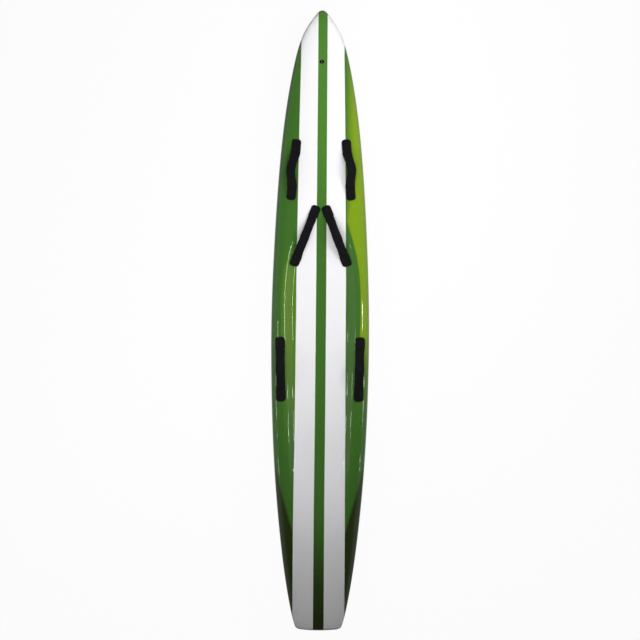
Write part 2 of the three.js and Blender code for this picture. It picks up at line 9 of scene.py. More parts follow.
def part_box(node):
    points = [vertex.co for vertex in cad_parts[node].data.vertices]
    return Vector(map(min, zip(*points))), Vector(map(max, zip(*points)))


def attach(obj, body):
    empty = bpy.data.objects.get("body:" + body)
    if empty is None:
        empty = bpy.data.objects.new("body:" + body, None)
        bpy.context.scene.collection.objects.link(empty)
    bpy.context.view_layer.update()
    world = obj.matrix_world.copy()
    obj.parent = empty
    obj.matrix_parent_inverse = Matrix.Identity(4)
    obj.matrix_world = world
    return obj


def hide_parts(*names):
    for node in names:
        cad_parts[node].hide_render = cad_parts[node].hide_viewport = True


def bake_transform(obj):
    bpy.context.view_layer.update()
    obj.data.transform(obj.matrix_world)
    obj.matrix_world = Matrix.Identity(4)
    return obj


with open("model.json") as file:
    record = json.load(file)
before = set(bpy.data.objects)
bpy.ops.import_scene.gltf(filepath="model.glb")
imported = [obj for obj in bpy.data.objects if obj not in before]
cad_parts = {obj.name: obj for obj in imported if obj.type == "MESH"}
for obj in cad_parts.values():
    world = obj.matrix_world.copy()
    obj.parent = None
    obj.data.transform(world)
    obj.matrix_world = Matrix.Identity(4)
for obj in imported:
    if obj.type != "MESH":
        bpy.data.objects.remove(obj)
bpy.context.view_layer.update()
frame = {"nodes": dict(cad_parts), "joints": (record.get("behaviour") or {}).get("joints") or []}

scene = bpy.context.scene

# Metres, in the frame of the CAD model: +X to the right of a rider, +Y to the nose, +Z up
board = {
    "length": 3.2,
    "width": 0.508,
    "thickness": 0.14,
    "noseRocker": 0.15,
    "noseRockerPower": 2.2,
    "tailRocker": 0.036,
    "flatFrontShare": 0.219,
    "flatBackShare": 0.281,
    "tailCorner": 0.017,
    "tailEdge": 0.009,
    "bottomFlatShare": 0.6,
    "recessDepth": 0.03,
    "recessSlope": 0.075,
    "recessFrontShare": 0.4,
    "recessFrontRampShare": 0.175,
    "recessBackShare": 0.7375,
    "recessBackRampShare": 0.325,
    "outline": [(-1, 0.42), (-0.8, 0.543), (-0.6, 0.704), (-0.45, 0.825), (-0.3, 0.926),
                (-0.15, 0.984), (0, 0.997), (0.15, 0.951), (0.3, 0.87), (0.45, 0.75),
                (0.6, 0.586), (0.75, 0.377), (0.87, 0.158), (0.94, 0.068), (1, 0)],
    "thicknessAlong": [(-1, 0.26), (-0.8, 0.4), (-0.55, 0.66), (-0.3, 0.9), (0, 1),
                       (0.3, 0.92), (0.55, 0.71), (0.75, 0.48), (0.9, 0.24), (1, 0)],
    "roundness": [(-1, 2.3), (-0.5, 2.8), (0, 4), (0.4, 3.2), (1, 2.2)],
    "lip": [(-1, 0.7), (-0.7, 0.73), (-0.5, 0.765), (-0.3, 0.775), (-0.1, 0.79), (0.1, 0.815),
            (0.2, 0.765), (0.3, 0.6), (0.4, 0.36), (0.6, 0.38), (1, 0.4)],
    "stations": 280,
    "skin": 0.002,
    "tailBow": 0.005,
    "tailBowBack": 0.0035,
    "tailBowReach": 0.06,
    "sharpAngle": 50,
    "cupGap": 0.0003,
    "boxGap": 0.0003,
    "boxEndLap": 0.0009,
    "cupCut": (-0.06, 0.03),
    "cupSlopeReach": 0.01,
    "boxCutFrom": 0.05,
    "boxCutOver": 0.002,
}

# Half widths of the painted bands, by place along the board, and how far they shift to the right
stripes = {
    "centre": [(-1.6, 0.0275), (-1.1, 0.0271), (-0.5, 0.0266), (0.2, 0.0261), (1.2, 0.024),
               (1.6, 0.0236)],
    "white": [(-1.6, 0.134), (-1.293, 0.1344), (-1.086, 0.1342), (-0.879, 0.1329),
              (-0.672, 0.1313), (-0.465, 0.1305), (-0.155, 0.1291), (0.078, 0.1282),
              (0.233, 0.1282), (0.982, 0.1186), (1.241, 0.114), (1.344, 0.1117), (1.6, 0.1117)],
    "shift": [(-1.6, 0), (-0.93, 0), (-0.62, 0.0018), (-0.31, 0.0026), (0.155, 0.0038),
              (0.62, 0.0036), (1.24, 0.0043), (1.6, 0.0043)],
    "centreCloses": 0.01,
    "whiteCloses": 0.03,
    "bottomRail": 0.045,
    "bottomRailFront": 1.41,
    "bottomRailFrontFade": 0.35,
    "bottomRailBack": -1.55,
    "bottomRailBackFade": 0.3,
    "bottomRailCloses": 0.02,
    "centreColumns": 6,
    "whiteColumns": 16,
    "railColumns": 34,
    "bottomColumns": 20,
}

halfLength = board["length"] / 2
halfWidth = board["width"] / 2
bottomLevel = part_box("bottom_skin")[0].z


def smoothCurve(points):
    last = len(points) - 1
    curvature = [0.0] * (last + 1)
    carried = [0.0] * (last + 1)
    slope = lambda i: (points[i + 1][1] - points[i][1]) / (points[i + 1][0] - points[i][0])
    for i in range(1, last):
        span = points[i + 1][0] - points[i - 1][0]
        share = (points[i][0] - points[i - 1][0]) / span
        divisor = share * curvature[i - 1] + 2
        curvature[i] = (share - 1) / divisor
        carried[i] = (6 * (slope(i) - slope(i - 1)) / span - share * carried[i - 1]) / divisor
    for i in range(last - 1, 0, -1):
        curvature[i] = curvature[i] * curvature[i + 1] + carried[i]

    def value(place):
        end = next((i for i in range(1, last + 1) if points[i][0] > place), last)
        width = points[end][0] - points[end - 1][0]
        ahead = (points[end][0] - place) / width
        behind = 1 - ahead
        bow = (ahead ** 3 - ahead) * curvature[end - 1] + (behind ** 3 - behind) * curvature[end]
        return ahead * points[end - 1][1] + behind * points[end][1] + bow * width * width / 6
    return value


def mix(low, high, share):
    return low + (high - low) * share


def straightCurve(points, place):
    for (low, first), (high, second) in zip(points, points[1:]):
        if place <= high:
            return mix(first, second, (place - low) / (high - low))
    return points[-1][1]


def smoothStep(share):
    held = min(max(share, 0), 1)
    return held * held * (3 - 2 * held)


def cornerInset(distance, radius):
    left = radius - min(max(distance, 0), radius)
    return radius - math.sqrt(radius * radius - left * left)


outlineCurve = smoothCurve(board["outline"])
thicknessCurve = smoothCurve(board["thicknessAlong"])
roundnessCurve = smoothCurve(board["roundness"])
lipCurve = smoothCurve(board["lip"])


def beyond(place, start):
    return max(place - start, 0) / (1 - start)


def bottomHeight(y):
    front = beyond(y / halfLength, board["flatFrontShare"])
    back = beyond(-y / halfLength, board["flatBackShare"])
    lift = board["noseRocker"] * front ** board["noseRockerPower"]
    return bottomLevel + lift + board["tailRocker"] * back * back


def sectionAt(y):
    place = math.asin(min(max(y / halfLength, -1), 1)) / (math.pi / 2)
    held = min(place, 0.999)
    fromTail = y + halfLength
    edge = cornerInset(fromTail, board["tailEdge"])
    bottom = bottomHeight(y)
    thickness = board["thickness"] * thicknessCurve(held)
    return {
        "half": halfWidth * outlineCurve(held) - cornerInset(fromTail, board["tailCorner"]),
        "bottom": bottom + edge,
        "rail": bottom + thickness / 2,
        "crown": bottom + thickness - edge,
        "roundness": roundnessCurve(held),
        "lip": lipCurve(y / halfLength),
    }


def deckHeight(section, y, share):
    crown, rail, power = section["crown"], section["rail"], section["roundness"]
    dome = lambda at: rail + (crown - rail) * max(1 - at ** power, 0) ** (1 / power)
    across = smoothStep((section["lip"] - share) * section["half"] / board["recessSlope"])
    place = y / halfLength
    front = smoothStep((board["recessFrontShare"] - place) / board["recessFrontRampShare"])
    back = smoothStep((board["recessBackShare"] + place) / board["recessBackRampShare"])
    scooped = dome(section["lip"]) - board["recessDepth"]
    return mix(dome(share), scooped, across * front * back)


def hullHeight(section, y, share):
    turn = beyond(share, board["bottomFlatShare"])
    depth = (section["rail"] - section["bottom"]) * math.sqrt(1 - min(turn * turn, 1))
    return section["rail"] - depth


def deckAt(x, y):
    section = sectionAt(y)
    return deckHeight(section, y, min(abs(x) / section["half"], 1))


def srgb(red, green, blue):
    values = (red / 255, green / 255, blue / 255)
    linear = [v / 12.92 if v <= 0.04045 else ((v + 0.055) / 1.055) ** 2.4 for v in values]
    return (*linear, 1)


building = {"tree": None}  # the node tree that the next functions add to


def addNode(kind, inputs=None, **settings):
    tree = building["tree"]
    made = tree.nodes.new(kind)
    for name, value in settings.items():
        setattr(made, name, value)
    for name, value in (inputs or {}).items():
        if isinstance(value, bpy.types.NodeSocket):
            tree.links.new(value, made.inputs[name])
        else:
            made.inputs[name].default_value = value
    return made


def newGroup(name, inputs, outputs):
    tree = building["tree"] = bpy.data.node_groups.new(name, "ShaderNodeTree")
    for label, value in inputs.items():
        kind = "NodeSocketColor" if isinstance(value, tuple) else "NodeSocketFloat"
        socket = tree.interface.new_socket(label, in_out="INPUT", socket_type=kind)
        socket.default_value = value
    for label in outputs:
        kind = "NodeSocketColor" if label == "Colour" else "NodeSocketFloat"
        tree.interface.new_socket(label, in_out="OUTPUT", socket_type=kind)
    return tree, addNode("NodeGroupInput").outputs, addNode("NodeGroupOutput").inputs


def placeGroup(group, **values):
    inputs = {name.capitalize(): value for name, value in values.items()}
    return addNode("ShaderNodeGroup", inputs, node_tree=group).outputs


def math2(operation, first, second, clamp=False):
    return addNode("ShaderNodeMath", {0: first, 1: second}, operation=operation,
                   use_clamp=clamp).outputs[0]


def times(first, second, clamp=False):
    return math2("MULTIPLY", first, second, clamp)


def plus(first, second, clamp=False):
    return math2("ADD", first, second, clamp)


def ramp(value, low, high, smooth=True):
    kind = "SMOOTHSTEP" if smooth else "LINEAR"
    made = addNode("ShaderNodeMapRange", {"Value": value, "From Min": low, "From Max": high},
                   interpolation_type=kind)
    return made.outputs["Result"]


def blendColour(factor, first, second):
    inputs = {0: factor, 6: first, 7: second}
    return addNode("ShaderNodeMix", inputs, data_type="RGBA").outputs[2]


def noise(place, scale, detail, **more):
    inputs = {"Vector": place, "Scale": scale, "Detail": detail, **more}
    return addNode("ShaderNodeTexNoise", inputs).outputs["Fac"]


def objectPlace():
    return addNode("ShaderNodeTexCoord").outputs["Object"]


def splitUp(vector):
    return addNode("ShaderNodeSeparateXYZ", {0: vector}).outputs


def drawnOut(place, factors):
    return addNode("ShaderNodeVectorMath", {0: place, 1: factors}, operation="MULTIPLY").outputs[0]


def attribute(name):
    return addNode("ShaderNodeAttribute", attribute_name=name).outputs["Fac"]


def joinTo(socket, target):
    building["tree"].links.new(socket, target)


def newMaterial(name, values):
    material = bpy.data.materials.new(name)
    material.use_nodes = True
    tree = building["tree"] = material.node_tree
    shader = next(n for n in tree.nodes if n.type == "BSDF_PRINCIPLED")
    for label, value in values.items():
        shader.inputs[label].default_value = value
    return material, shader


# One colour laid over another, by a mask and how much of it counts
def colourOver(shader, mask, amount, under, over):
    joinTo(blendColour(times(mask, amount), under, over), shader.inputs["Base Color"])


def roughenBy(shader, mask, amount, least):
    joinTo(plus(times(mask, amount), least), shader.inputs["Roughness"])


def raiseBy(shader, height, strength, distance):
    inputs = {"Strength": strength, "Distance": distance, "Height": height}
    bump = addNode("ShaderNodeBump", inputs)
    joinTo(bump.outputs["Normal"], shader.inputs["Normal"])
    return bump


# Colour that drifts a little over a surface, as paint, rubber or moulded plastic does
def makeDriftGroup():
    inputs = {"Colour": (0.5, 0.5, 0.5, 1), "Scale": 8.0, "Amount": 0.1}
    tree, given, out = newGroup("colourDrift", inputs, ["Colour", "Cloud"])
    cloud = noise(objectPlace(), given["Scale"], 4.0, Roughness=0.55)
    value = plus(times(math2("SUBTRACT", cloud, 0.5), given["Amount"]), 1.0)
    toned = addNode("ShaderNodeHueSaturation", {"Color": given["Colour"], "Value": value})
    joinTo(toned.outputs["Color"], out["Colour"])
    joinTo(cloud, out["Cloud"])
    return tree


# Fine dust and hairline scuffs, as a mask
def makeScuffGroup():
    inputs = {"Scale": 40.0, "Amount": 0.3, "Stretch": 6.0}
    tree, given, out = newGroup("scuffs", inputs, ["Mask"])
    place = objectPlace()
    stretch = {"X": given["Stretch"], "Y": 1.0, "Z": given["Stretch"]}
    squeeze = addNode("ShaderNodeCombineXYZ", stretch).outputs[0]
    lines = noise(drawnOut(place, squeeze), given["Scale"], 6.0, Roughness=0.7)
    patches = noise(place, 5.0, 3.0)
    mask = times(ramp(lines, 0.56, 0.72), ramp(patches, 0.42, 0.68))
    joinTo(times(mask, given["Amount"], clamp=True), out["Mask"])
    return tree


# The knitted face of neoprene: rows of small loops, with a finer fuzz
def makeKnitGroup():
    tree, given, out = newGroup("knit", {"Pitch": 0.0016, "Fuzz": 0.35}, ["Height", "Mask"])
    place = objectPlace()
    split = splitUp(place)
    turns = math2("DIVIDE", 2 * math.pi, given["Pitch"])
    wave = lambda value: addNode("ShaderNodeMath", {0: value}, operation="SINE").outputs[0]
    across = wave(times(split[0], turns))
    along = wave(times(split[1], times(turns, 0.6)))
    weave = times(across, along)
    fuzz = noise(place, 900.0, 3.0)
    joinTo(plus(times(weave, 0.5), times(fuzz, given["Fuzz"])), out["Height"])
    joinTo(ramp(weave, -0.8, 0.8, smooth=False), out["Mask"])
    return tree


# Slow waves and a finer ripple in the hand-laid resin
def makeWavesGroup():
    tree, given, out = newGroup("resinWaves", {"Scale": 34.0}, ["Height"])
    place = objectPlace()
    slow = noise(place, given["Scale"], 1.0)
    fine = noise(place, 150.0, 1.0)
    joinTo(plus(slow, times(fine, 0.1)), out["Height"])
    return tree


driftGroup = makeDriftGroup()
wavesGroup = makeWavesGroup()
scuffGroup = makeScuffGroup()
knitGroup = makeKnitGroup()

# Colours of the paint, and the places in metres between which one paint fades into the next
paintLook = {
    "green": srgb(65, 112, 40),
    "noseGreen": srgb(77, 129, 46),
    # painted light: a lime tone where light from the right falls
    "paintedLightLime": srgb(126, 159, 28),
    "shadeGreen": srgb(62, 106, 44),
    "tailGreen": srgb(40, 60, 10),
    # painted shade on the rails near the tail
    "railShadeGreen": srgb(40, 56, 9),
    "white": srgb(247, 246, 248),
    # painted shade along the white paint's rim at the tail
    "rimShadeColour": srgb(92, 82, 70),
    "resinIOR": 1.34,
    "resinRoughness": 0.035,
    "waveScale": 34.0,
    "waveStrength": 0.5,
    "waveDepth": 0.0003,
    "cloudScale": 3.2,
    "wobble": 0.12,
    "rightHalf": (0.0, 0.02),
    "paintedLightNarrows": (0.35, 0.75),
    "paintedLightAcross": (-0.01, 0.055),
    "paintedLightFront": (1.7, 1.0),
    "paintedLightBack": (-0.5, 0.0),
    "leftPaintedLight": 0.3,
    "leftPaintedLightCrest": (0.004, -0.02),
    "leftPaintedLightAcross": (-0.08, -0.11),
    "leftPaintedLightFront": (0.42, 0.2),
    "leftPaintedLightBack": (-0.75, 0.0),
    "shade": 0.8,
    "shadeAcross": (-0.15, -0.24),
    "noseAlong": (0.4, 0.9),
    "noseAcross": (-0.02, -0.06),
    "tailFade": (-0.95, -1.55),
    "railShadeGrows": (-0.68, -1.22),
    "railShadeWidest": 0.1,
    "railShadeBlur": 0.009,
    "rimShadeAlong": (-1.56, -1.58),
    "rimShadeAcross": (0.0055, 0.002),
    "rimShade": 0.85,
}


def drifting(colour, scale, amount):
    return placeGroup(driftGroup, colour=colour, scale=scale, amount=amount)["Colour"]


def scuffsOn(scale, amount, stretch):
    return placeGroup(scuffGroup, scale=scale, amount=amount, stretch=stretch)["Mask"]


# The clear resin over all the paint lies in slow waves
def waveResin(shader):
    waves = placeGroup(wavesGroup, scale=paintLook["waveScale"])
    raiseBy(shader, waves["Height"], paintLook["waveStrength"], paintLook["waveDepth"])


# Green paint: fades to near black at the tail, with painted light as a lime tone on the right rail
# and, fainter, on the left inner slope
def makeGreenPaint():
    look = paintLook
    fade = lambda value, reach: ramp(value, *look[reach])
    material, shader = newMaterial("greenPaint", {"Roughness": 0.04, "IOR": look["resinIOR"]})
    place = objectPlace()
    split = splitUp(place)
    cloud = noise(place, look["cloudScale"], 3.0)
    wobble = times(math2("SUBTRACT", cloud, 0.5), look["wobble"])
    along = plus(split[1], wobble)
    crest, rim = attribute("crest"), attribute("rim")
    # Painted light: a lime tone outside the crest on the right and inside it on the left, where
    # light from the right falls
    band = math2("MAXIMUM", fade(split[1], "paintedLightNarrows"), 0.12)
    spread = math2("DIVIDE", plus(crest, times(wobble, 0.08)), band)
    outside = fade(spread, "paintedLightAcross")
    alongRight = times(fade(along, "paintedLightFront"), fade(along, "paintedLightBack"))
    paintedLightRight = times(times(outside, alongRight), fade(split[0], "rightHalf"))
    inside = times(fade(crest, "leftPaintedLightCrest"), fade(split[0], "leftPaintedLightAcross"))
    alongLeft = times(fade(along, "leftPaintedLightFront"), fade(along, "leftPaintedLightBack"))
    paintedLightLeft = times(times(inside, alongLeft), look["leftPaintedLight"])
    paintedLightLime = plus(paintedLightRight, paintedLightLeft, clamp=True)
    shade = times(fade(split[0], "shadeAcross"), look["shade"])
    inStripe = times(fade(along, "noseAlong"), fade(crest, "noseAcross"))
    front = blendColour(inStripe, look["green"], look["noseGreen"])
    body = blendColour(shade, front, look["shadeGreen"])
    withPaintedLight = blendColour(paintedLightLime, body, look["paintedLightLime"])
    tailed = blendColour(fade(along, "tailFade"), withPaintedLight, look["tailGreen"])
    # Painted shade: the rails darken to near black in a band along the outline that widens towards
    # the tail
    railShadeWidth = times(ramp(split[1], *look["railShadeGrows"], smooth=False), look["railShadeWidest"])
    past = math2("SUBTRACT", math2("SUBTRACT", railShadeWidth, rim), look["railShadeBlur"])
    railShadeMask = ramp(past, -look["railShadeBlur"], look["railShadeBlur"])
    faded = blendColour(railShadeMask, tailed, look["railShadeGreen"])
    drift = drifting(faded, 26.0, 0.12)
    scuff = scuffsOn(55.0, 0.35, 5.0)
    colourOver(shader, scuff, 0.12, drift, srgb(190, 205, 180))
    roughenBy(shader, math2("MAXIMUM", railShadeMask, scuff), 0.12, look["resinRoughness"])
    waveResin(shader)
    return material


# White paint, with painted shade along its rounded rim at the tail
def makeWhitePaint():
    look = paintLook
    material, shader = newMaterial("whitePaint", {"Roughness": 0.04, "IOR": look["resinIOR"]})
    drift = drifting(look["white"], 9.0, 0.03)
    scuff = scuffsOn(48.0, 0.5, 5.0)
    scuffed = blendColour(times(scuff, 0.16), drift, srgb(196, 194, 186))
    split = splitUp(objectPlace())
    atTail = times(ramp(split[1], *look["rimShadeAlong"]), look["rimShade"])
    edge = ramp(attribute("rim"), *look["rimShadeAcross"])
    colourOver(shader, edge, atTail, scuffed, look["rimShadeColour"])
    roughenBy(shader, scuff, 0.1, look["resinRoughness"])
    waveResin(shader)
    return material


def makeNeoprene():
    material, shader = newMaterial("neopreneKnit", {
        "Roughness": 0.85, "Specular IOR Level": 0.1, "Sheen Weight": 0.02,
        "Sheen Roughness": 0.5})
    drift = drifting(srgb(17, 16, 18), 30.0, 0.3)
    knit = placeGroup(knitGroup, pitch=0.0018, fuzz=0.4)
    knitted = blendColour(times(knit["Mask"], 0.35), drift, srgb(27, 26, 29))
    # Painted shade in the pressed sewn channels, darkest where they are deepest
    colourOver(shader, attribute("seam"), 0.6, knitted, srgb(9, 8, 9))
    roughenBy(shader, knit["Mask"], 0.12, 0.76)
    raiseBy(shader, knit["Height"], 0.5, 0.0004)
    return material


def makeThread():
    material, shader = newMaterial("blackThread", {"Roughness": 0.6, "Specular IOR Level": 0.3})
    drift = drifting(srgb(38, 37, 40), 400.0, 0.5)
    joinTo(drift, shader.inputs["Base Color"])
    strands = {"Vector": objectPlace(), "Scale": 900.0, "Distortion": 1.5}
    raiseBy(shader, addNode("ShaderNodeTexWave", strands).outputs["Fac"], 0.5, 0.0001)
    return material


def makeWebbing():
    material, shader = newMaterial("blackWebbing", {
        "Roughness": 0.7, "Specular IOR Level": 0.3, "Sheen Weight": 0.1})
    drift = drifting(srgb(30, 30, 33), 60.0, 0.35)
    knit = placeGroup(knitGroup, pitch=0.0024, fuzz=0.25)
    colourOver(shader, knit["Mask"], 0.5, drift, srgb(58, 58, 62))
    raiseBy(shader, knit["Height"], 0.8, 0.0006)
    return material


def makeMoulded(name, colour, rough, grain, specular=0.5):
    material, shader = newMaterial(name, {"Roughness": rough, "Specular IOR Level": specular})
    drift = drifting(colour, 35.0, 0.2)
    scuff = scuffsOn(70.0, 0.6, 3.0)
    colourOver(shader, scuff, 0.3, drift, srgb(120, 120, 122))
    roughenBy(shader, scuff, 0.3, rough)
    raiseBy(shader, noise(objectPlace(), 1400.0, 2.0), grain, 0.0002)
    return material


def makeMetal(name, colour, rough, turned):
    material, shader = newMaterial(name, {"Roughness": rough, "Metallic": 1.0})
    drift = drifting(colour, 120.0, 0.16)
    joinTo(drift, shader.inputs["Base Color"])
    lines = noise(objectPlace(), turned, 5.0)
    roughenBy(shader, lines, 0.2, rough - 0.1)
    raiseBy(shader, lines, 0.2, 0.0001)
    return material


# Expanded foam: packed beads
def makeFoam():
    material, shader = newMaterial("foamBeads", {"Roughness": 0.9, "Specular IOR Level": 0.2})
    beads = {"Vector": objectPlace(), "Scale": 320.0}
    cells = addNode("ShaderNodeTexVoronoi", beads).outputs["Distance"]
    drift = drifting(srgb(243, 240, 230), 20.0, 0.06)
    colourOver(shader, ramp(cells, 0.35, 0.75), 0.3, drift, srgb(205, 200, 184))
    raiseBy(shader, cells, 0.4, 0.0006).invert = True
    return material


def makePlywood():
    material, shader = newMaterial("plywoodGrain", {"Roughness": 0.65})
    drawn = drawnOut(objectPlace(), (40.0, 3.0, 60.0))
    grain = noise(drawn, 4.0, 7.0, Distortion=0.6)
    tone = blendColour(ramp(grain, 0.35, 0.7), srgb(209, 172, 120), srgb(160, 118, 72))
    joinTo(tone, shader.inputs["Base Color"])
    raiseBy(shader, grain, 0.3, 0.0003)
    return material


greenPaint = makeGreenPaint()
whitePaint = makeWhitePaint()
neoprene = makeNeoprene()
thread = makeThread()
webbing = makeWebbing()
moulded = makeMoulded("mouldedBlack", srgb(17, 17, 18), 0.5, 0.25, specular=0.25)
finPlastic = makeMoulded("finPlastic", srgb(30, 32, 35), 0.24, 0.12)
steel = makeMetal("brushedSteel", srgb(200, 202, 206), 0.3, 500.0)
brass = makeMetal("turnedBrass", srgb(196, 160, 86), 0.34, 420.0)
foam = makeFoam()
plywood = makePlywood()
print("materials ready")


def addObject(name, data):
    made = bpy.data.objects.new(name, data)
    scene.collection.objects.link(made)
    return made


def newPiece(name, points, faces, materials, indices=None, smooth=True):
    mesh = bpy.data.meshes.new(name)
    mesh.from_pydata([tuple(p) for p in points], [], faces)
    for material in materials:
        mesh.materials.append(material)
    if indices:
        mesh.polygons.foreach_set("material_index", indices)
    work = bmesh.new()
    work.from_mesh(mesh)
    bmesh.ops.remove_doubles(work, verts=work.verts, dist=1e-6)
    bmesh.ops.recalc_face_normals(work, faces=work.faces)
    work.to_mesh(mesh)
    work.free()
    if smooth:
        mesh.polygons.foreach_set("use_smooth", [True] * len(mesh.polygons))
    return addObject(name, mesh)


def applyModifiers(piece):
    bpy.context.view_layer.update()
    depsgraph = bpy.context.evaluated_depsgraph_get()
    mesh = bpy.data.meshes.new_from_object(
        piece.evaluated_get(depsgraph), preserve_all_data_layers=True, depsgraph=depsgraph)
    piece.modifiers.clear()
    piece.data = mesh


def easedSteps(low, high, count, ease):
    places = []
    for i in range(1, count + 1):
        share = i / count
        places.append(mix(low, high, mix(share, math.sin(share * math.pi / 2), ease)))
    return places


# Places across one half of the deck, with an edge exactly on each line where the paint changes
def deckColumns(y, section, side):
    half = section["half"]
    shift = straightCurve(stripes["shift"], y) * side
    centre = min(straightCurve(stripes["centre"], y) + shift, half)
    white = min(max(straightCurve(stripes["white"], y) + shift, centre), half)
    closing = 1 - smoothStep((half - white) / stripes["whiteCloses"])
    closed = 1 - smoothStep((half - centre) / stripes["centreCloses"])
    places = [0.0] + easedSteps(0, centre, stripes["centreColumns"], closed)
    places += easedSteps(centre, white, stripes["whiteColumns"], closing)
    return places + easedSteps(white, half, stripes["railColumns"], 1)


def bottomColumns(y, section, side):
    half = section["half"]
    front = smoothStep((stripes["bottomRailFront"] - y) / stripes["bottomRailFrontFade"])
    back = smoothStep((y - stripes["bottomRailBack"]) / stripes["bottomRailBackFade"])
    band = stripes["bottomRail"] * front * back
    edge = half - band
    closing = 1 - smoothStep(band / stripes["bottomRailCloses"])
    places = [0.0] + easedSteps(0, edge, stripes["bottomColumns"], closing)
    return places + easedSteps(edge, half, stripes["bottomColumns"], 1)


# The tail's edge bows out a little between its corners
def tailPull(y, share):
    reach = board["tailBowReach"]
    bow = board["tailBow"] * share * share - board["tailBowBack"]
    return bow * smoothStep((reach - halfLength - y) / reach)


# A laminate skin: the shaped face, the face that closes it at the tail, then thickness inwards
def makeSkin(name, columnsAt, heightAt, bands):
    points, faces, indices = [], [], []
    rows = []
    steps = board["stations"]
    for i in range(steps + 1):
        y = halfLength * math.sin(mix(-1, 1, i / steps) * math.pi / 2)
        section = sectionAt(y)
        across = [-x for x in reversed(columnsAt(y, section, -1)[1:])] + columnsAt(y, section, 1)
        rows.append(range(len(points), len(points) + len(across)))
        for x in across:
            share = min(abs(x) / section["half"], 1)
            points.append((x, y + tailPull(y, share), heightAt(section, y, share)))
    count = len(rows[0])
    middle = count // 2
    foot = range(len(points), len(points) + count)
    points += [(x, y, sectionAt(-halfLength)["rail"]) for x, y, _ in points[:count]]
    for lower, upper in [(foot, rows[0])] + list(zip(rows, rows[1:])):
        for j in range(count - 1):
            faces.append((lower[j], lower[j + 1], upper[j + 1], upper[j]))
            indices.append(bands[max(j - middle, middle - 1 - j)])
    skin = newPiece(name, points, faces, [greenPaint, whitePaint], indices)
    thicken = skin.modifiers.new("skin", "SOLIDIFY")
    thicken.thickness = board["skin"]
    thicken.offset = -1
    return skin


def cutHole(piece, cutter):
    cut = piece.modifiers.new("hole", "BOOLEAN")
    cut.operation = "DIFFERENCE"
    cut.solver = "EXACT"
    cut.object = cutter
    applyModifiers(piece)
    bpy.data.objects.remove(cutter)


# Side faces between rings of points that follow each other
def tubeFaces(base, rings, sides):
    faces = []
    for i in range(rings - 1):
        low = base + i * sides
        for j in range(sides):
            k = (j + 1) % sides
            faces.append((low + j, low + k, low + sides + k, low + sides + j))
    return faces


def ringCutter(name, middle, axis, radius, low, high, sides=96):
    turn = Vector((0, 0, 1)).rotation_difference(axis).to_matrix()
    points = []
    for height in (low, high):
        for i in range(sides):
            angle = 2 * math.pi * i / sides
            spot = Vector((radius * math.cos(angle), radius * math.sin(angle), height))
            points.append(middle + turn @ spot)
    ends = [tuple(reversed(range(sides))), tuple(range(sides, 2 * sides))]
    return newPiece(name, points, tubeFaces(0, 2, sides) + ends, [greenPaint], smooth=False)


# For each column from the middle outwards: 0 is green, 1 is white
deckBands = [0] * stripes["centreColumns"] + [1] * stripes["whiteColumns"]
deckBands += [0] * stripes["railColumns"]
bottomBands = [1] * stripes["bottomColumns"] + [0] * stripes["bottomColumns"]

deck = makeSkin("painted_deck", deckColumns, deckHeight, deckBands)
cupLow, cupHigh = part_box("leash_cup")
cupMiddle = Vector(((cupLow.x + cupHigh.x) / 2, (cupLow.y + cupHigh.y) / 2, cupHigh.z))
reach = board["cupSlopeReach"]
cupSlope = (deckAt(0, cupMiddle.y + reach) - deckAt(0, cupMiddle.y - reach)) / (2 * reach)
cupAxis = Vector((0, -cupSlope, 1)).normalized()
cupRadius = (cupHigh.x - cupLow.x) / 2 + board["cupGap"]
cutHole(deck, ringCutter("cupHole", cupMiddle, cupAxis, cupRadius, *board["cupCut"]))
deck.data.set_sharp_from_angle(angle=math.radians(board["sharpAngle"]))


# How far each point lies outside the crest of the scoop, or the white band where there is none,
# and how far inside the outline
def markPaint(piece):
    crests, rims = [], []
    for vertex in piece.data.vertices:
        x, y = vertex.co.x, vertex.co.y
        section = sectionAt(y)
        shift = math.copysign(straightCurve(stripes["shift"], y), x)
        white = straightCurve(stripes["white"], y) + shift
        crests.append(abs(x) - max(section["lip"] * section["half"], white))
        tailEnd = -halfLength + tailPull(-halfLength, min(abs(x) / section["half"], 1))
        rims.append(min(section["half"] - abs(x), y - tailEnd))
    for label, values in (("crest", crests), ("rim", rims)):
        piece.data.attributes.new(label, "FLOAT", "POINT").data.foreach_set("value", values)


markPaint(deck)
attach(deck, "board")
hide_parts("deck_skin")

bottom = makeSkin("painted_bottom", bottomColumns, hullHeight, bottomBands)
boxLow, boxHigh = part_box("fin_box")
boxSides = (boxLow.x - board["boxGap"], boxHigh.x + board["boxGap"])
boxEnds = (boxLow.y + board["boxEndLap"], boxHigh.y - board["boxEndLap"])
boxLevels = (board["boxCutFrom"], boxHigh.z + board["boxCutOver"])
boxCorners = [(x, y, z) for x in boxSides for y in boxEnds for z in boxLevels]
boxFaces = [(0, 1, 3, 2), (4, 6, 7, 5), (0, 4, 5, 1), (2, 3, 7, 6), (0, 2, 6, 4), (1, 5, 7, 3)]
cutHole(bottom, newPiece("finBoxHole", boxCorners, boxFaces, [whitePaint], smooth=False))
bottom.data.set_sharp_from_angle(angle=math.radians(board["sharpAngle"]))
markPaint(bottom)
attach(bottom, "board")
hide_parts("bottom_skin")
print("deck and bottom ready")

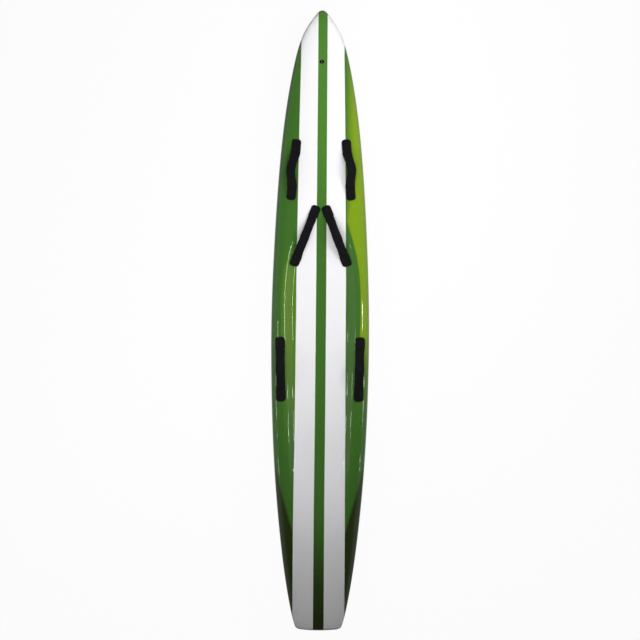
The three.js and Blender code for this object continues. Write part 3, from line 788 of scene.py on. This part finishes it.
handle = {
    "length": 0.334,
    "tabWidth": 0.052,
    "gripWidth": 0.0535,
    "tabLength": 0.062,
    "tabEdge": 0.005,
    "tabEnd": 0.009,
    "tabCorner": 0.017,
    "tabLip": 0.07,
    "tabLipReach": 0.004,
    "tabFoot": 0.0002,
    "axisHeight": 0.018,
    "rise": 0.036,
    "gripThickness": 0.02,
    "gripEndShare": 0.97,
    "gripFlare": 0.03,
    "gripEndRadius": 0.0025,
    "gripEndSize": 0.016,
    "gripSquareAcross": 0.8,
    "gripSquareUp": 0.86,
    "twist": 0.042,
    "strapWidth": 0.02,
    "strapThickness": 0.003,
    "strapGap": 0.0005,
    "strapStart": 0.02,
    "strapSettles": 0.42,
    "strapReach": 0.9,
    "fullness": 0.7,
    "tuck": 0.0012,
    "pairs": {
        "front": {"length": 0.946, "tab": 0.96, "grip": 1.04, "lean": 24},
        "centre": {"length": 1, "tab": 0.98, "grip": 0.957, "lean": 0},
        "rear": {"length": 1, "tab": 1, "grip": 1, "lean": 0},
    },
}


def handlePlace(pair, side):
    joint = next(j for j in frame["joints"] if j["name"] == f"{pair}_{side}_sway")
    along = Vector(joint["axis"]).normalized()
    across = Vector((0, 0, 1)).cross(along).normalized()
    up = along.cross(across)
    matrix = Matrix((along, across, up)).transposed().to_4x4()
    matrix.translation = Vector(joint["pos_m"])
    shares = handle["pairs"][pair]
    reach = handle["length"] * shares["length"] / 2 - handle["tabLength"]
    return {
        "matrix": matrix,
        "halfSpan": reach / math.sqrt(1 - along.z * along.z),
        "lean": math.radians(shares["lean"]) * (1 if side == "right" else -1),
        "tabWidth": handle["tabWidth"] * shares["tab"],
        "gripWidth": handle["gripWidth"] * shares["grip"],
    }


# Height of the deck in a handle's own frame
def deckInFrame(matrix, x, y):
    z = -handle["axisHeight"]
    up = matrix.to_3x3() @ Vector((0, 0, 1))
    for _ in range(5):
        point = matrix @ Vector((x, y, z))
        z -= (point.z - deckAt(point.x, point.y)) / up.z
    return z


def archHeight(x, halfSpan):
    return handle["rise"] * (1 + math.cos(math.pi * min(abs(x) / halfSpan, 1))) / 2


# A closed piece through rings of points
def loftPiece(name, rings, materials):
    points = [point for ring in rings for point in ring]
    sides = len(rings[0])
    faces = tubeFaces(0, len(rings), sides)
    for start in (0, (len(rings) - 1) * sides):
        middle = len(points)
        points.append(sum(rings[start // sides], Vector()) / sides)
        for j in range(sides):
            faces.append((start + j, start + (j + 1) % sides, middle))
    return newPiece(name, points, faces, materials)


padCloth = {
    "voxel": {"grip": 0.0045, "tab": 0.0024},
    "slimmer": {"grip": 0.0009, "tab": 0.0006},
    "cap": {"grip": 0.0018, "tab": 0.0012},
    "lastFrame": 20,
    "fabric": {
        "quality": 4, "mass": 0.3, "tension_stiffness": 12, "compression_stiffness": 12,
        "bending_stiffness": 0.4, "shrink_min": -0.03, "vertex_group_mass": "held",
        "use_pressure": True, "uniform_pressure_force": 4.0,
    },
    "heldAtGripEnd": 0.004,
    "heldAtTabEnd": 0.003,
    "heldAtFoot": 0.002,
    "channelDepth": 0.0009,
    "channelWidth": 0.0016,
    "tabChannelInset": 0.006,
    "gripChannelInset": 0.005,
    "gripSeamAcross": 0.45,
    "gripSeamUp": 0.009,
    "gripSeamPastLevel": 0.05,
    "pressedFoot": 0.003,
    "stitchPitch": 0.0042,
    "stitchLength": 0.0027,
    "stitchRadius": 0.00042,
    "stitchSearch": 0.02,
    "stitchEnd": 0.25,
    "stitchSunk": 0.35,
}


def withNormals(mesh):
    return [(vertex, vertex.normal.copy()) for vertex in mesh.vertices]


# Blows a pad up from inside as its foam does, with the points of held kept in place
def fillPad(piece, kind, held):
    voxels = piece.modifiers.new("even", "REMESH")
    voxels.mode = "VOXEL"
    voxels.voxel_size = padCloth["voxel"][kind]
    applyModifiers(piece)
    mesh = piece.data
    start = [vertex.co.copy() for vertex in mesh.vertices]
    slim = padCloth["slimmer"][kind]
    for vertex, normal in withNormals(mesh):
        if not held(vertex.co):
            vertex.co -= normal * slim
    pins = piece.vertex_groups.new(name="held")
    pins.add([i for i, point in enumerate(start) if held(point)], 1.0, "REPLACE")
    cloth = piece.modifiers.new("filling", "CLOTH")
    for label, value in padCloth["fabric"].items():
        setattr(cloth.settings, label, value)
    cloth.settings.effector_weights.gravity = 0
    cloth.collision_settings.use_collision = False
    cloth.point_cache.frame_start, cloth.point_cache.frame_end = 1, padCloth["lastFrame"]
    for frameNumber in range(1, padCloth["lastFrame"] + 1):
        scene.frame_set(frameNumber)
    settled = piece.evaluated_get(bpy.context.evaluated_depsgraph_get())
    blown = settled.to_mesh()
    filled = [vertex.co.copy() for vertex in blown.vertices]
    settled.to_mesh_clear()
    piece.modifiers.clear()
    piece.vertex_groups.clear()
    scene.frame_set(1)
    for vertex, goal in zip(mesh.vertices, filled):
        travel = goal - vertex.co
        vertex.co += travel * min(1, padCloth["cap"][kind] / max(travel.length, 1e-9))
    finer = piece.modifiers.new("finer", "SUBSURF")
    finer.levels = finer.render_levels = 1
    applyModifiers(piece)
    piece.data.polygons.foreach_set("use_smooth", [True] * len(piece.data.polygons))


# Presses a sewn channel into a pad, along the line where away() is nought
def sewChannel(piece, away, open=lambda point: True):
    mesh = piece.data
    seam = mesh.attributes.get("seam") or mesh.attributes.new("seam", "FLOAT", "POINT")
    for vertex, normal in withNormals(mesh):
        if open(vertex.co):
            share = max(0, 1 - (away(vertex.co) / (2 * padCloth["channelWidth"])) ** 2)
            vertex.co -= normal * padCloth["channelDepth"] * share * share
            seam.data[vertex.index].value = max(seam.data[vertex.index].value, share)


# A row of short stitches laid on a pad along a path of points and outward directions
def sewStitches(name, piece, path):
    bpy.context.view_layer.update()
    tree = BVHTree.FromObject(piece, bpy.context.evaluated_depsgraph_get())
    search = padCloth["stitchSearch"]
    spots = []
    for point, outward in path:
        hit, normal, *_ = tree.ray_cast(point + outward * search, -outward, 2 * search)
        if hit:
            spots.append((hit, normal))
    rings, sides, faces, points = 5, 6, [], []
    walked, nextStart = 0.0, 0.0
    for (spot, normal), (following, _) in zip(spots, spots[1:]):
        step = following - spot
        walked += step.length
        if walked < nextStart or step.length < 1e-6:
            continue
        nextStart = walked + padCloth["stitchPitch"]
        along = step.normalized()
        side = along.cross(normal).normalized()
        base = len(points)
        for i in range(rings):
            share = i / (rings - 1)
            swell = math.sin(math.pi * share)
            thick = padCloth["stitchRadius"] * mix(padCloth["stitchEnd"], 1, swell)
            lift = padCloth["stitchRadius"] * (swell - padCloth["stitchSunk"])
            middle = spot + along * padCloth["stitchLength"] * (share - 0.5) + normal * lift
            for j in range(sides):
                turn = 2 * math.pi * j / sides
                points.append(middle + (side * math.cos(turn) + normal * math.sin(turn)) * thick)
        faces += tubeFaces(base, rings, sides)
        faces.append(tuple(base + j for j in reversed(range(sides))))
        faces.append(tuple(base + (rings - 1) * sides + j for j in range(sides)))
    return newPiece(name, points, faces, [thread])


# The rounded tab that covers a handle's end, from the grip to its rounded tip
def coverRings(place, end):
    matrix, halfSpan = place["matrix"], place["halfSpan"]
    tabLength = handle["tabLength"]
    rings = []
    steps, arch, base = 30, 22, 8
    for i in range(steps + 1):
        share = math.sin(i / steps * math.pi / 2)
        fromEnd = tabLength * (1 - share)
        x = end * (halfSpan + tabLength * share)
        inward = 1 - min(share * tabLength / handle["tabLipReach"], 1)
        lip = 1 - handle["tabLip"] * inward ** 2
        wide = (place["tabWidth"] / 2 - cornerInset(fromEnd, handle["tabCorner"])) * lip
        top = handle["axisHeight"] + handle["gripThickness"] / 2
        height = mix(top, handle["tabEnd"], smoothStep(share)) * lip
        crown = height - cornerInset(fromEnd, handle["tabEnd"] / 2)
        ring = []
        for j in range(arch + 1):
            turn = math.pi * j / arch
            y = wide * math.cos(turn)
            edge = handle["tabEdge"] * crown / height
            raised = mix(edge, crown, math.sin(turn) ** handle["fullness"])
            ring.append(matrix @ Vector((x, y, deckInFrame(matrix, x, y) + raised)))
        for j in range(base + 1):
            y = mix(-wide, wide, j / base)
            ring.append(matrix @ Vector((x, y, deckInFrame(matrix, x, y) + handle["tabFoot"])))
        rings.append(ring)
    return rings


# The grip as one arched pad, leaning to its side and level again at its ends
def gripRings(place):
    matrix, halfSpan = place["matrix"], place["halfSpan"]
    steps, sides = 72, 32
    turned = Matrix.Rotation(place["lean"], 4, "X")
    reach = halfSpan + handle["tuck"]
    rings = []
    for i in range(steps + 1):
        x = -reach * math.cos(math.pi * i / steps)
        fromEnd = reach - abs(x)
        flare = smoothStep((halfSpan - abs(x)) / handle["gripFlare"])
        wide = place["gripWidth"] * mix(handle["gripEndShare"], 1, flare) / 2
        inset = cornerInset(fromEnd, handle["gripEndRadius"])
        rounded = 1 - inset / handle["gripEndSize"]
        arch = archHeight(x, halfSpan)
        flat = Matrix.Rotation(place["lean"] * math.sqrt(arch / handle["rise"]), 3, "X")
        ring = []
        for j in range(sides):
            turn = 2 * math.pi * j / sides
            squareAcross = abs(math.cos(turn)) ** handle["gripSquareAcross"]
            squareUp = abs(math.sin(turn)) ** handle["gripSquareUp"]
            across = math.copysign(squareAcross, math.cos(turn)) * wide * rounded
            level = math.copysign(squareUp, math.sin(turn))
            offset = Vector((0, across, level * handle["gripThickness"] / 2 * rounded))
            ring.append(matrix @ (turned @ Vector((x, 0, arch)) + flat @ offset))
        rings.append(ring)
    return rings


# Half of a handle's strap, from the screw to the middle of the grip
def strapRings(place, end):
    matrix, halfSpan = place["matrix"], place["halfSpan"]
    wide, thick = handle["strapWidth"] / 2, handle["strapThickness"] / 2
    turned = Matrix.Rotation(place["lean"], 4, "X")
    settles = handle["strapSettles"] * handle["tabLength"]
    far = halfSpan + handle["strapReach"] * handle["tabLength"]
    steps = 36
    rings = []
    for i in range(steps + 1):
        x = end * mix(handle["strapStart"], far, i / steps)
        settle = smoothStep((abs(x) - halfSpan) / settles)
        ring = []
        for y, level in ((wide, -1), (wide, 1), (-wide, 1), (-wide, -1)):
            held = turned @ Vector((0, y, archHeight(x, halfSpan) + level * thick))
            laid = 0
            if settle > 0:
                laid = deckInFrame(matrix, x, y) + handle["strapGap"] + thick + level * thick
            ring.append(matrix @ Vector((x, mix(held.y, y, settle), mix(held.z, laid, settle))))
        rings.append(ring)
    return rings


# One half of a grip, closed where it meets the other in the middle
def halfOf(grip, name, matrix, end):
    work = bmesh.new()
    work.from_mesh(grip.data)
    away = matrix.to_3x3() @ Vector((end, 0, 0))
    cut = bmesh.ops.bisect_plane(
        work, geom=work.verts[:] + work.edges[:] + work.faces[:], clear_inner=True,
        plane_co=matrix.translation, plane_no=away, dist=1e-6)
    rim = [edge for edge in cut["geom_cut"] if isinstance(edge, bmesh.types.BMEdge)]
    for part in bmesh.ops.edgeloop_fill(work, edges=rim)["faces"] + rim:
        part.smooth = False
    bmesh.ops.recalc_face_normals(work, faces=work.faces)
    mesh = grip.data.copy()
    work.to_mesh(mesh)
    work.free()
    return addObject(name, mesh)


def tabFloor(place, spot):
    return deckInFrame(place["matrix"], spot.x, spot.y)


# Distance of a point of a tab from its outline, seen from above; the end at the grip doesn't count
def tabInset(place, spot):
    corner = handle["tabCorner"]
    fromEnd = place["halfSpan"] + handle["tabLength"] - abs(spot.x)
    fromSide = place["tabWidth"] / 2 - abs(spot.y)
    if fromEnd < corner and fromSide < corner:
        return corner - math.hypot(corner - fromEnd, corner - fromSide)
    return min(fromEnd, fromSide)


def fromTabSeam(place, spot):
    return tabInset(place, spot) - padCloth["tabChannelInset"]


def abovePressedFoot(place, spot):
    return spot.z > tabFloor(place, spot) + padCloth["pressedFoot"]


def tabHeld(place, spot):
    low = spot.z < tabFloor(place, spot) + padCloth["heldAtFoot"]
    return low or abs(spot.x) < place["halfSpan"] + padCloth["heldAtTabEnd"]


# The line of the sewn channel round a tab: up one side, round the end and back
def tabSeam(place, end):
    matrix = place["matrix"]
    inset = padCloth["tabChannelInset"]
    corner = handle["tabCorner"] - inset
    wide = place["tabWidth"] / 2 - inset
    far = place["halfSpan"] + handle["tabLength"] - inset
    near = place["halfSpan"] + inset
    sideSteps, cornerSteps, endSteps = 40, 16, 14
    spots = [(mix(near, far - corner, i / sideSteps), wide) for i in range(sideSteps + 1)]
    for i in range(1, cornerSteps + 1):
        turn = math.pi / 2 * i / cornerSteps
        spots.append((far - corner + corner * math.sin(turn),
                      wide - corner + corner * math.cos(turn)))
    spots += [(far, mix(wide - corner, 0, i / endSteps)) for i in range(1, endSteps + 1)]
    spots += [(x, -y) for x, y in reversed(spots[:-1])]
    up = (matrix.to_3x3() @ Vector((0, 0, 1))).normalized()
    height = lambda x, y: deckInFrame(matrix, x, y) + padCloth["stitchSearch"] * 0.6
    return [(matrix @ Vector((end * x, y, height(end * x, y))), up) for x, y in spots]


# The line of stitches round a grip, inset from its end
def gripSeam(place, turned, end, inset):
    steps = 60
    past = padCloth["gripSeamPastLevel"]
    middle = Vector((end * inset, 0, archHeight(inset, place["halfSpan"])))
    path = []
    for i in range(steps + 1):
        angle = math.pi * (i / steps * (1 + 2 * past) - past)
        outward = Vector((0, math.cos(angle), math.sin(angle)))
        across = outward.y * place["gripWidth"] * padCloth["gripSeamAcross"]
        wide = Vector((0, across, outward.z * padCloth["gripSeamUp"]))
        path.append((turned @ (middle + wide), (turned.to_3x3() @ outward).normalized()))
    return path


for pair in ("front", "centre", "rear"):
    for side in ("right", "left"):
        label = f"{pair}_{side}"
        place = handlePlace(pair, side)
        local = place["matrix"].inverted()
        turned = place["matrix"] @ Matrix.Rotation(place["lean"], 4, "X")
        unturned = turned.inverted()
        reach = place["halfSpan"] + handle["tuck"]
        inset = reach - padCloth["gripChannelInset"]
        grip = loftPiece(f"{label}_wholeGrip", gripRings(place), [neoprene])
        heldFrom = reach - padCloth["heldAtGripEnd"]
        fillPad(grip, "grip", lambda point: abs((local @ point).x) > heldFrom)
        sewChannel(grip, lambda point: abs((unturned @ point).x) - inset)
        ends = ((1, "fore"), (-1, "aft"))
        seams = [sewStitches(f"{label}_{endName}_grip_stitching", grip,
                             gripSeam(place, turned, end, inset)) for end, endName in ends]
        for (end, endName), gripStitches in zip(ends, seams):
            half = halfOf(grip, f"{label}_{endName}_padded_grip_half", place["matrix"], end)
            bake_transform(half)
            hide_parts(f"{label}_grip")
            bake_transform(gripStitches)

            cover = loftPiece(f"{label}_{endName}_padded_tab", coverRings(place, end), [neoprene])
            fillPad(cover, "tab", lambda point: tabHeld(place, local @ point))
            sewChannel(cover, lambda point: fromTabSeam(place, local @ point),
                       open=lambda point: abovePressedFoot(place, local @ point))
            seam = tabSeam(place, end)
            tabStitches = sewStitches(f"{label}_{endName}_tab_stitching", cover, seam)
            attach(tabStitches, "board")
            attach(cover, "board")
            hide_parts(f"{label}_{endName}_cover")

            strap = loftPiece(f"{label}_{endName}_strap_half", strapRings(place, end), [webbing])
            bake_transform(strap)
            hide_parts(f"{label}_strap")
        bpy.data.objects.remove(grip)
print("handles ready")

finishes = {
    "leash_cup": moulded, "leash_bar": steel, "fin_box": moulded, "fin": finPlastic,
    "fin_pin": brass, "fin_screw": steel, "fin_nut_plate": brass, "foam_core_right": foam,
    "foam_core_left": foam, "stringer": plywood, "_screw": steel, "_insert": brass,
}
for name, nodeObject in frame["nodes"].items():
    if nodeObject.hide_render:
        continue
    finish = finishes.get(name) or finishes["_" + name.split("_")[-1]]
    nodeObject.data.materials.clear()
    nodeObject.data.materials.append(finish)
print("CAD pieces finished")

studio = {
    "cameraHeight": 30.0,
    "viewWidth": 3.309,
    "sensor": 36.0,
    "roll": 0.385,
    "cameraPlace": (-0.0013, 0.0025),
    "deckHeight": 0.22,
    "floorSize": 120.0,
    "floorLevel": -0.001,
    "floorGlow": 1.04,
    "floorShown": 0.92,
    "worldLevel": 0.1,
    "ceilingLevel": 0.15,
    "ceilingFade": (0.85, 0.45),
    "softboxes": {
        # place, aimed at, width, height, watts, turn
        "keySoftbox": ((0.22, 0.86, 1.6), (0.05, 1.03, 0.2), 1.0, 3.6, 27.3, 0.46),
        "sideKey": ((1.3, 0.6, 1.7), (0.0, 0.5, 0.25), 0.26, 0.26, 5.2, 0.0),
        "noseFill": ((0.15, 1.46, 1.1), (0.02, 1.58, 0.4), 0.5, 0.4, 1.35, 0.0),
    },
    "stripRadiance": 55.0,
    "stripDistance": 2.0,
    "railPlace": 0.17,
    "railHeight": 0.24,
    "strips": [
        # side of the lamp, angle from straight up, place along the board, length, width
        (1, 45, 0.04, 0.2, 0.07), (-1, 45, -0.05, 0.1, 0.03), (1, 58.5, -0.41, 0.07, 0.03),
        (1, 58.5, -0.61, 0.15, 0.03), (1, 58.5, -0.95, 0.1, 0.03), (-1, 58.5, -0.36, 0.14, 0.03),
        (-1, 58.5, -0.6, 0.12, 0.03), (-1, 59, -0.75, 0.05, 0.03), (-1, 59, -0.97, 0.1, 0.03),
    ],
}

cameraData = bpy.data.cameras.new("pictureCamera")
cameraData.sensor_width = studio["sensor"]
toDeck = studio["cameraHeight"] - studio["deckHeight"]
cameraData.lens = studio["sensor"] * toDeck / studio["viewWidth"]
cameraData.clip_end = 120
camera = addObject("pictureCamera", cameraData)
camera.location = (*studio["cameraPlace"], studio["cameraHeight"])
camera.rotation_euler = (0, 0, math.radians(studio["roll"]))
scene.camera = camera


def addSoftbox(name, location, target, width, height, energy, turn=0.0, glossy=True):
    data = bpy.data.lights.new(name, "AREA")
    data.shape = "RECTANGLE"
    data.size, data.size_y = width, height
    data.energy = energy
    lamp = addObject(name, data)
    back = (Vector(location) - Vector(target)).normalized()
    side = Vector((math.sin(turn), math.cos(turn), 0)).cross(back).normalized()
    facing = Matrix((side, back.cross(side), back)).transposed().to_4x4()
    lamp.matrix_world = Matrix.Translation(location) @ facing
    lamp.visible_camera = False
    lamp.visible_glossy = glossy


for name, (spot, aim, width, height, watts, turn) in studio["softboxes"].items():
    addSoftbox(name, spot, aim, width, height, watts, turn, glossy=False)
for index, (side, angle, along, length, width) in enumerate(studio["strips"]):
    turned = math.radians(angle)
    away = side * (studio["stripDistance"] * math.sin(turned) - studio["railPlace"])
    spot = (away, along, studio["railHeight"] + studio["stripDistance"] * math.cos(turned))
    aim = (-side * studio["railPlace"], along, studio["railHeight"])
    watts = studio["stripRadiance"] * math.pi * length * width
    addSoftbox(f"glintStrip{index + 1}", spot, aim, width, length, watts)

# Rays that come straight from the camera, and rays that mirrors and glass send on
def raysOf():
    rays = addNode("ShaderNodeLightPath").outputs
    sentOn = math2("MAXIMUM", rays["Is Glossy Ray"], rays["Is Transmission Ray"])
    return rays["Is Camera Ray"], sentOn


floorHalf = studio["floorSize"] / 2
corners = [(x * floorHalf, y * floorHalf, studio["floorLevel"])
           for x, y in ((-1, -1), (1, -1), (1, 1), (-1, 1))]
floor = newPiece("studioFloor", corners, [(0, 1, 2, 3)], [], smooth=False)
floorMaterial, floorShader = newMaterial("floorPaint", {
    "Roughness": 0.9, "Specular IOR Level": 0.0, "Base Color": (0.6, 0.6, 0.6, 1)})
direct, mirrored = raysOf()
shown = math2("MAXIMUM", direct, mirrored)
glow = addNode("ShaderNodeEmission", {"Color": (1, 1, 1, 1), "Strength": studio["floorGlow"]})
dimmed = times(shown, studio["floorShown"])
mixed = {0: dimmed, 1: floorShader.outputs[0], 2: glow.outputs[0]}
mixer = addNode("ShaderNodeMixShader", mixed)
output = next(n for n in floorMaterial.node_tree.nodes if n.type == "OUTPUT_MATERIAL")
joinTo(mixer.outputs[0], output.inputs["Surface"])
floor.data.materials.append(floorMaterial)

world = bpy.data.worlds.new("studioWorld")
scene.world = world
world.use_nodes = True
building["tree"] = world.node_tree
background = next(n for n in world.node_tree.nodes if n.type == "BACKGROUND")
direct, mirrored = raysOf()
direction = addNode("ShaderNodeTexCoord").outputs["Generated"]
walls = ramp(splitUp(direction)[2], *studio["ceilingFade"])
ceiling = studio["ceilingLevel"]
glossyLevel = plus(times(walls, 1 - ceiling), ceiling)  # a dark ceiling over white walls
seen = math2("MAXIMUM", times(glossyLevel, mirrored), direct)
level = math2("MAXIMUM", seen, studio["worldLevel"])
background.inputs["Color"].default_value = (1, 1, 1, 1)
joinTo(level, background.inputs["Strength"])

scene.view_settings.view_transform = "Standard"
print("studio ready")
